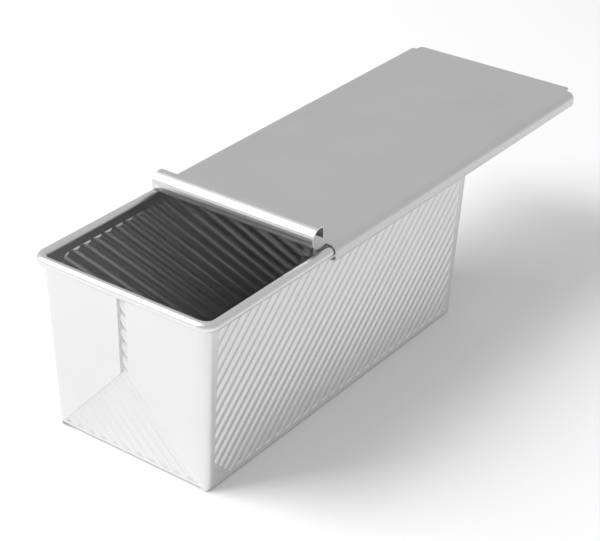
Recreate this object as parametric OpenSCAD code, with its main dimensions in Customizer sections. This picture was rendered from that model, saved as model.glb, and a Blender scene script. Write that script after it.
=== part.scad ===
// Pullman loaf pan: one folded sheet body with a wire-reinforced rim, and a lid that slides along it.
// Millimetres. Origin at the centre of the base, base on Z = 0, +X is the way the lid slides open.

/* [Pan body] */
// Outside length over the folded end flaps, at rim level
top_length = 230.2; // [180:0.1:420]
// Outside width over the side walls, at rim level
top_width = 103; // [85:0.5:150]
// Height from the base to the top of the rim
pan_height = 98.6; // [70:0.1:130]
// How far each wall leans in between rim and base
wall_taper = 3.25; // [1.5:0.05:5]
// Thickness of the pan's sheet
sheet = 0.7; // [0.5:0.05:1]
// Outside radius of the upright corners
corner_radius = 5; // [4:0.5:9]
// Outside radius of the bend between the base and the walls
base_radius = 2.5; // [1.5:0.25:5]

/* [Pressed ridges] */
// Distance from ridge to ridge, square to the ridges
ridge_pitch = 5.63; // [4:0.05:9]
// Depth of the wave pressed into the sheet
ridge_depth = 0.6; // [0.3:0.05:0.9]
// Flat margin between the ridges and the upright corners
corner_margin = 5; // [3:0.5:15]
// Flat margin between the ridges and the base edge
base_margin = 3.2; // [2.5:0.1:10]
// Flat margin between the ridges and the rim
rim_margin = 5; // [3:0.5:15]

/* [End folds] */
// Gap between the two flaps on each end wall
slot_width = 5.2; // [3:0.1:12]
// Angle of the folded flap edge above the base
fold_angle = 48; // [45:0.5:52]

/* [Rim] */
// Outside diameter of the rolled bead
bead_diameter = 5.4; // [4.6:0.1:7.5]
// Free space round the wire inside the bead
wire_gap = 0.1; // [0.05:0.01:0.3]

/* [Lid] */
// Thickness of the lid's sheet
lid_sheet = 0.7; // [0.5:0.05:1]
// Free space between the lid and the top of the rim
top_gap = 0.3; // [0.2:0.05:0.8]
// Free space between the side channels and the rim
side_gap = 0.5; // [0.3:0.05:1.2]
// Outside height of the side channels
channel_height = 8.6; // [8.2:0.1:12]
// Width of the lip that hooks under the rim
lip_width = 3.6; // [2.8:0.1:5]
// Outside radius of the bend above that lip
lip_radius = 1.8; // [1:0.1:2.5]
// How far the lid stands open, from closed
lid_open = 107.5; // [0:0.5:150]
// How far the far edge reaches past the channels
far_reach = 5; // [2:0.5:12]
// How far the closed lid reaches past the rim before it turns up into the curl
near_reach = 15.9; // [8:0.1:30]
// Length of the notch between the curl and the channels
notch_length = 5.8; // [2:0.1:10]
// Height of the curled pull edge
curl_height = 11.6; // [8:0.1:16]
// Radius of the curl's upper back bend
curl_back_radius = 2.5; // [1.5:0.1:3]
// Gap between the curl's free edge and the lid
curl_gap = 4.1; // [2:0.1:5]
// Width of the curl
curl_width = 101.6; // [70:0.1:102]

/* [Hidden] */
lean = atan(wall_taper / pan_height);
fold_layers = 2;
fold = fold_layers * sheet;
bead_r = bead_diameter / 2;
bead_z = pan_height - bead_r;
bite = 0.08;
turn_ease = 0.9;
corner_steps = 8;
bend_steps = 5;
arc_steps = 12;

// Half sizes of the outer faces at a height z: side walls, flaps and end walls
function half_w(z) = top_width / 2 - wall_taper * (1 - z / pan_height);
function half_l(z) = top_length / 2 - wall_taper * (1 - z / pan_height);
function half_e(z) = half_l(z) - fold;

// Bead centre line, and the lid sizes that follow from it
bead_y = half_w(bead_z) - sheet - bite + bead_r;
bead_x = half_e(bead_z) - sheet - bite + bead_r;
inner_corner = max(1, corner_radius - fold - sheet);
bead_turn = inner_corner + bead_r + turn_ease;
lid_top = pan_height + top_gap + lid_sheet;
lid_half = bead_y + bead_r + side_gap + lid_sheet;
lid_bend = bead_r + side_gap + lid_sheet;
lid_far = bead_x + bead_r + lid_open;
curl_r = curl_height / 2;
curl_x = lid_open - bead_x - bead_r - near_reach;
channel_x0 = curl_x + notch_length;
channel_x1 = lid_far - far_reach;
tongue_half = lid_half - lid_bend - 1.6;

// A rounded rectangle at height z, as points
function ring(hl, hw, r, z) = [
    for (q = [0:3]) for (i = [0:corner_steps])
        let (a = q * 90 + i * 90 / corner_steps,
             sx = (q == 0 || q == 3) ? 1 : -1,
             sy = (q < 2) ? 1 : -1)
        [sx * (hl - r) + r * cos(a), sy * (hw - r) + r * sin(a), z]
];

// Rings of the tub's surface, moved in by "inset", from its floor up to height "zt"
function tub_rings(inset, zt) =
    let (rb = max(0.4, base_radius - inset),
         rc = max(0.6, corner_radius - fold - inset),
         e0 = half_e(inset) - inset / cos(lean),
         w0 = half_w(inset) - inset / cos(lean),
         back = rb / cos(lean) - rb * tan(lean))
    concat(
        [for (k = [0:bend_steps])
            let (t = k * (90 - lean) / bend_steps,
                 dz = rb * (1 - cos(t)),
                 pull = back - rb * sin(t),
                 grow = dz * tan(lean))
            ring(e0 - pull, w0 - pull, max(0.3, rc - pull - grow), inset + dz)],
        [ring(half_e(zt) - inset / cos(lean), half_w(zt) - inset / cos(lean), rc, zt)]
    );

module loft(rings) {
    n = len(rings[0]);
    m = len(rings);
    polyhedron(
        points = [for (r = rings) for (p = r) p],
        faces = concat(
            [[for (i = [0:n - 1]) i]],
            [for (k = [0:m - 2]) for (i = [0:n - 1])
                [k * n + i, (k + 1) * n + i, (k + 1) * n + (i + 1) % n, k * n + (i + 1) % n]],
            [[for (i = [n - 1:-1:0]) (m - 1) * n + i]]
        ),
        convexity = 4
    );
}

// One pitch of the pressed wave: place along the pitch, part of the depth
wave = [[0.06, 0], [0.2, 0.3], [0.35, 0.8], [0.5, 1], [0.65, 0.8], [0.8, 0.3], [0.94, 0]];

// A long comb of ridges: the teeth lie along the given diagonal of the XZ plane and point to +Y
module comb(turn, count, length) {
    sink = 0.05;
    rotate([0, turn, 0])
        linear_extrude(height = length, center = true)
            polygon(concat(
                [[-count * ridge_pitch / 2, -0.4]],
                [for (i = [0:count - 1]) for (q = wave)
                    [(i - count / 2 + q[0]) * ridge_pitch, q[1] * (ridge_depth + sink) - sink]],
                [[count * ridge_pitch / 2, -0.4]]
            ));
}

// A plate region in the XZ plane whose edges slope in towards +Y, from y = -0.4 to past the ridges
module field(x0, x1, z0, z1) {
    y1 = ridge_depth + 0.2;
    k = 1.6;
    a = 0.4 * k;
    b = -y1 * k;
    polyhedron(
        points = [
            [x0 - a, -0.4, z0 - a], [x1 + a, -0.4, z0 - a], [x1 + a, -0.4, z1 + a], [x0 - a, -0.4, z1 + a],
            [x0 - b, y1, z0 - b], [x1 + b, y1, z0 - b], [x1 + b, y1, z1 + b], [x0 - b, y1, z1 + b]
        ],
        faces = [[3, 2, 1, 0], [4, 5, 6, 7], [0, 1, 5, 4], [1, 2, 6, 5], [2, 3, 7, 6], [3, 0, 4, 7]]
    );
}

// Places a wall's own frame: X along the wall, Y into the pan from its outer face, Z up the wall
module at_side() {
    translate([0, -half_w(0), 0])
        rotate([lean, 0, 0])
            children();
}

module at_end() {
    translate([-half_e(0), 0, 0])
        rotate([0, -lean, 0])
            rotate([0, 0, -90])
                children();
}

side_run = half_e(0) - corner_margin;
end_run = half_w(0) - corner_margin;
ridge_top = bead_z - bead_r - rim_margin + 4;
side_count = ceil((2 * half_l(0) + pan_height) * 0.7072 / ridge_pitch) + 2;
end_count = ceil((2 * half_w(0) + pan_height) * 0.7072 / ridge_pitch) + 2;
floor_count = ceil((2 * half_l(0) + 2 * half_w(0)) * 0.7072 / ridge_pitch) + 2;

module side_ridges() {
    intersection() {
        translate([0, 0, pan_height / 2])
            comb(45, side_count, 2 * pan_height);
        field(-side_run, side_run, base_margin, ridge_top);
    }
}

module end_ridges() {
    intersection() {
        translate([0, 0, pan_height / 2])
            comb(-45, end_count, 2.4 * pan_height);
        field(-end_run, end_run, base_margin, ridge_top);
    }
}

// The part of the end wall that the flaps leave bare: a triangle under a slot
module bare_end() {
    foot = half_w(0) - 1.2;
    peak = (foot - slot_width / 2) * tan(fold_angle);
    translate([0, 1.5, 0])
        rotate([90, 0, 0])
            linear_extrude(height = 3)
                polygon([
                    [-foot, 0], [foot, 0],
                    [slot_width / 2, peak], [slot_width / 2, bead_z],
                    [-slot_width / 2, bead_z], [-slot_width / 2, peak]
                ]);
}

module floor_ridges() {
    translate([0, 0, 0])
        rotate([90, 0, 0])
            intersection() {
                comb(-45, floor_count, 2.4 * half_w(0) + 60);
                field(-side_run, side_run, -end_run - 1, end_run + 1);
            }
}

// Two layers of sheet turned back over each end wall, with the diagonal fold as their lower edge
module flaps() {
    foot = half_w(0) - 1.2;
    peak = (foot - slot_width / 2) * tan(fold_angle);
    drop = (half_w(pan_height) + 2 - foot) * tan(fold_angle);
    difference() {
        intersection() {
            loft([
                ring(half_l(0), half_w(0), corner_radius, 0),
                ring(half_l(bead_z - 0.4), half_w(bead_z - 0.4), corner_radius, bead_z - 0.4)
            ]);
            for (m = [0, 1])
                mirror([0, m, 0])
                    rotate([90, 0, 90])
                        linear_extrude(height = 2 * top_length, center = true)
                            polygon([
                                [slot_width / 2, peak], [foot, 0.3],
                                [half_w(pan_height) + 2, 0.3], [half_w(pan_height) + 2, bead_z],
                                [slot_width / 2, bead_z]
                            ]);
        }
        translate([0, 0, -1])
            loft([
                ring(half_e(-1) - 0.3, half_w(-1) - 0.3, max(0.6, corner_radius - fold), 0),
                ring(half_e(bead_z) - 0.3, half_w(bead_z) - 0.3, max(0.6, corner_radius - fold), bead_z + 1)
            ]);
    }
}

// The rim's rolled bead as a solid loop of the given radius
module bead(r) {
    sx = bead_x - bead_turn;
    sy = bead_y - bead_turn;
    translate([0, 0, bead_z]) {
        for (s = [-1, 1]) {
            translate([-sx, s * bead_y, 0])
                rotate([0, 90, 0])
                    cylinder(r = r, h = 2 * sx, $fn = 64);
            translate([s * bead_x, sy, 0])
                rotate([90, 0, 0])
                    cylinder(r = r, h = 2 * sy, $fn = 64);
        }
        for (q = [0:3])
            translate([(q == 0 || q == 3 ? 1 : -1) * sx, (q < 2 ? 1 : -1) * sy, 0])
                rotate([0, 0, q * 90])
                    rotate_extrude(angle = 90, $fn = 64)
                        translate([bead_turn, 0])
                            circle(r = r, $fn = 64);
    }
}

module pan_body() {
    color([0.78, 0.78, 0.79])
        difference() {
            union() {
                loft(tub_rings(0, bead_z));
                flaps();
                bead(bead_r);
            }
            difference() {
                loft(concat(tub_rings(sheet, bead_z), [ring(
                    half_e(pan_height + 2) - sheet / cos(lean),
                    half_w(pan_height + 2) - sheet / cos(lean),
                    max(0.6, corner_radius - fold - sheet),
                    pan_height + 2
                )]));
                bead(bead_r);
                for (s = [0, 180]) rotate([0, 0, s]) {
                    at_side() translate([0, sheet, 0]) side_ridges();
                    at_end() translate([0, sheet, 0]) end_ridges();
                }
                translate([0, 0, sheet]) floor_ridges();
            }
            for (s = [0, 180]) rotate([0, 0, s]) {
                at_side() side_ridges();
                at_end() intersection() {
                    end_ridges();
                    bare_end();
                }
            }
            floor_ridges();
            bead(bead_r - sheet);
        }
}

module rim_wire() {
    color([0.55, 0.55, 0.57])
        bead(bead_r - sheet - wire_gap);
}

// Points of an arc about c, from angle a to angle b
function arc(c, r, a, b) = [
    for (i = [0:arc_steps]) let (t = a + (b - a) * i / arc_steps) [c[0] + r * cos(t), c[1] + r * sin(t)]
];

// Half of the lid's cross section in Y and Z: top, bend, side, lip
module channel_section() {
    c1 = [lid_half - lid_bend, lid_top - lid_bend];
    c2 = [lid_half - lip_radius, lid_top - channel_height + lip_radius];
    tip = lid_half - lip_width;
    zb = lid_top - channel_height;
    polygon(concat(
        [[tongue_half - 1, lid_top]],
        arc(c1, lid_bend, 90, 0),
        arc(c2, lip_radius, 0, -90),
        [[tip, zb], [tip, zb + lid_sheet]],
        arc(c2, lip_radius - lid_sheet, -90, 0),
        arc(c1, lid_bend - lid_sheet, 0, 90),
        [[tongue_half - 1, lid_top - lid_sheet]]
    ));
}

// The curl's cross section in X and Z, from the lid's edge up, over and down behind
module curl_section() {
    zc = lid_top - lid_sheet + curl_r;
    c = [curl_x, zc];
    r2 = curl_back_radius;
    c2 = [curl_x + curl_r * 0.22, zc + curl_r - r2];
    xb = c2[0] + r2;
    ze = lid_top + curl_gap;
    polygon(concat(
        [[curl_x + notch_length + 3, lid_top - lid_sheet]],
        arc(c, curl_r, 270, 90),
        arc(c2, r2, 90, 0),
        [[xb, ze], [xb - lid_sheet, ze]],
        arc(c2, r2 - lid_sheet, 0, 90),
        arc(c, curl_r - lid_sheet, 90, 270),
        [[curl_x + notch_length + 3, lid_top]]
    ));
}

module lid() {
    corner = 2.5;
    color([0.72, 0.72, 0.73])
        union() {
            for (m = [0, 1])
                mirror([0, m, 0])
                    translate([channel_x0, 0, 0])
                        rotate([90, 0, 90])
                            linear_extrude(height = channel_x1 - channel_x0)
                                channel_section();
            translate([channel_x0, -tongue_half, lid_top - lid_sheet])
                cube([lid_far - channel_x0 - corner, 2 * tongue_half, lid_sheet]);
            translate([lid_far - corner - 1, corner - tongue_half, lid_top - lid_sheet])
                cube([corner + 1, 2 * (tongue_half - corner), lid_sheet]);
            for (s = [-1, 1])
                translate([lid_far - corner, s * (tongue_half - corner), lid_top - lid_sheet])
                    cylinder(r = corner, h = lid_sheet, $fn = 48);
            translate([0, curl_width / 2, 0])
                rotate([90, 0, 0])
                    linear_extrude(height = curl_width)
                        curl_section();
        }
}

pan_body();
rim_wire();
lid();
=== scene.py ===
import math

import bpy
from mathutils import Matrix, Vector

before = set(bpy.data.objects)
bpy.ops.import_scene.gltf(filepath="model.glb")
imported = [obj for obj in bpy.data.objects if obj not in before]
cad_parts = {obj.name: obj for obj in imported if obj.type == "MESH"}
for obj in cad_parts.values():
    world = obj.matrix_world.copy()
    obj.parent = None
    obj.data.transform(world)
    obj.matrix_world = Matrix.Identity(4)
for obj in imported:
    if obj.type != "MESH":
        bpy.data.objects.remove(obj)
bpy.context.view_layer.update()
bpy.ops.object.select_all(action="DESELECT")

# Camera and image: solved from the straight edges of the photograph.
IMAGE = (600, 541)
CAMERA_AT = Vector((-0.62922, -0.46569, 0.49704))
CAMERA_RIGHT = Vector((0.60906, -0.79303, 0.01216))
CAMERA_UP = Vector((0.37979, 0.30508, 0.87332))
CAMERA_BACK = Vector((-0.69628, -0.52729, 0.48700))
FOCAL_PX = 1712.7
CENTRE_PX = (250.9, 264.8)

camera_data = bpy.data.cameras.new("camera")
camera_data.sensor_fit = "HORIZONTAL"
camera_data.sensor_width = 36.0
camera_data.lens = FOCAL_PX * 36.0 / IMAGE[0]
camera_data.shift_x = (IMAGE[0] / 2 - CENTRE_PX[0]) / IMAGE[0]
camera_data.shift_y = (CENTRE_PX[1] - IMAGE[1] / 2) / IMAGE[0]
camera_data.clip_end = 20.0
camera = bpy.data.objects.new("camera", camera_data)
bpy.context.scene.collection.objects.link(camera)
camera.matrix_world = Matrix.Translation(CAMERA_AT) @ Matrix(
    (CAMERA_RIGHT, CAMERA_UP, CAMERA_BACK)
).transposed().to_4x4()
scene = bpy.context.scene
scene.camera = camera
scene.render.resolution_x, scene.render.resolution_y = IMAGE
scene.render.resolution_percentage = 100
scene.view_settings.view_transform = "Standard"


def linear(hex_text):
    """Linear colour of an sRGB hex value."""
    out = []
    for i in (0, 2, 4):
        c = int(hex_text[i : i + 2], 16) / 255
        out.append(c / 12.92 if c <= 0.04045 else ((c + 0.055) / 1.055) ** 2.4)
    return (*out, 1.0)


def metal(name, hex_text, rough, mottle, grain):
    """Satin sheet steel: soft cloudy tone, faint rolling grain, small changes of gloss."""
    m = bpy.data.materials.new(name)
    m.use_nodes = True
    nodes, links = m.node_tree.nodes, m.node_tree.links
    shader = nodes["Principled BSDF"]
    shader.inputs["Metallic"].default_value = 1.0
    shader.inputs["Roughness"].default_value = rough
    place = nodes.new("ShaderNodeTexCoord")
    cloud = nodes.new("ShaderNodeTexNoise")
    cloud.inputs["Scale"].default_value = 28.0
    cloud.inputs["Detail"].default_value = 4.0
    links.new(place.outputs["Object"], cloud.inputs["Vector"])
    ramp = nodes.new("ShaderNodeMapRange")
    ramp.inputs["From Min"].default_value = 0.3
    ramp.inputs["From Max"].default_value = 0.7
    ramp.inputs["To Min"].default_value = 1.0 - mottle
    ramp.inputs["To Max"].default_value = 1.0
    links.new(cloud.outputs["Fac"], ramp.inputs["Value"])
    tone = nodes.new("ShaderNodeVectorMath")
    tone.operation = "SCALE"
    tone.inputs[0].default_value = linear(hex_text)[:3]
    links.new(ramp.outputs["Result"], tone.inputs["Scale"])
    links.new(tone.outputs["Vector"], shader.inputs["Base Color"])
    stretch = nodes.new("ShaderNodeMapping")
    stretch.inputs["Scale"].default_value = (60.0, 1400.0, 900.0)
    links.new(place.outputs["Object"], stretch.inputs["Vector"])
    fine = nodes.new("ShaderNodeTexNoise")
    fine.inputs["Scale"].default_value = 1.0
    fine.inputs["Detail"].default_value = 2.0
    links.new(stretch.outputs["Vector"], fine.inputs["Vector"])
    gloss = nodes.new("ShaderNodeMapRange")
    gloss.inputs["To Min"].default_value = rough - grain
    gloss.inputs["To Max"].default_value = rough + grain
    links.new(fine.outputs["Fac"], gloss.inputs["Value"])
    links.new(gloss.outputs["Result"], shader.inputs["Roughness"])
    return m


PAN_STEEL = metal("aluminised_steel_satin", "E6E6E6", 0.34, 0.03, 0.03)
LID_STEEL = metal("aluminised_steel_lid", "DCDCDD", 0.40, 0.05, 0.03)
WIRE_STEEL = metal("drawn_steel_wire", "B4B4B6", 0.35, 0.05, 0.03)

# Finishes for the imported parts: the pan body (one folded steel sheet with ridges, folded ends
# and a rolled rim), the rim wire and the lid.
for node_name, finish in (("pan_body", PAN_STEEL), ("rim_wire", WIRE_STEEL), ("lid", LID_STEEL)):
    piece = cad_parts[node_name]
    piece.data.materials.clear()
    piece.data.materials.append(finish)

# The studio: white floor, big soft light from the left and behind, pale surroundings.
bpy.ops.mesh.primitive_plane_add(size=8.0, location=(0, 0, -0.0002))
floor = bpy.context.active_object
floor.name = "studio_floor"
paper = bpy.data.materials.new("white_paper")
paper.use_nodes = True
paper.node_tree.nodes["Principled BSDF"].inputs["Base Color"].default_value = linear("F4F4F4")
paper.node_tree.nodes["Principled BSDF"].inputs["Roughness"].default_value = 0.9
paper.node_tree.nodes["Principled BSDF"].inputs["Specular IOR Level"].default_value = 0.0
floor.data.materials.append(paper)


def soft_light(name, at, target, size, power):
    """A square area light at a point, facing another."""
    data = bpy.data.lights.new(name, "AREA")
    data.shape = "RECTANGLE"
    data.size, data.size_y = size
    data.energy = power
    lamp = bpy.data.objects.new(name, data)
    scene.collection.objects.link(lamp)
    lamp.location = at
    lamp.rotation_euler = (Vector(target) - Vector(at)).to_track_quat("-Z", "Y").to_euler()
    return lamp


soft_light("key_left", (-1.2, 1.4, 1.9), (0, 0, 0), (1.6, 1.6), 62.0)

world = bpy.data.worlds.new("studio")
scene.world = world
world.use_nodes = True
w_nodes, w_links = world.node_tree.nodes, world.node_tree.links
background = w_nodes["Background"]
rays = w_nodes.new("ShaderNodeLightPath")
seen = w_nodes.new("ShaderNodeBackground")
seen.inputs["Color"].default_value = (1, 1, 1, 1)
background.inputs["Color"].default_value = (0.80, 0.80, 0.80, 1)
background.inputs["Strength"].default_value = 0.75
mix = w_nodes.new("ShaderNodeMixShader")
w_links.new(rays.outputs["Is Camera Ray"], mix.inputs["Fac"])
w_links.new(background.outputs["Background"], mix.inputs[1])
w_links.new(seen.outputs["Background"], mix.inputs[2])
w_links.new(mix.outputs["Shader"], w_nodes["World Output"].inputs["Surface"])
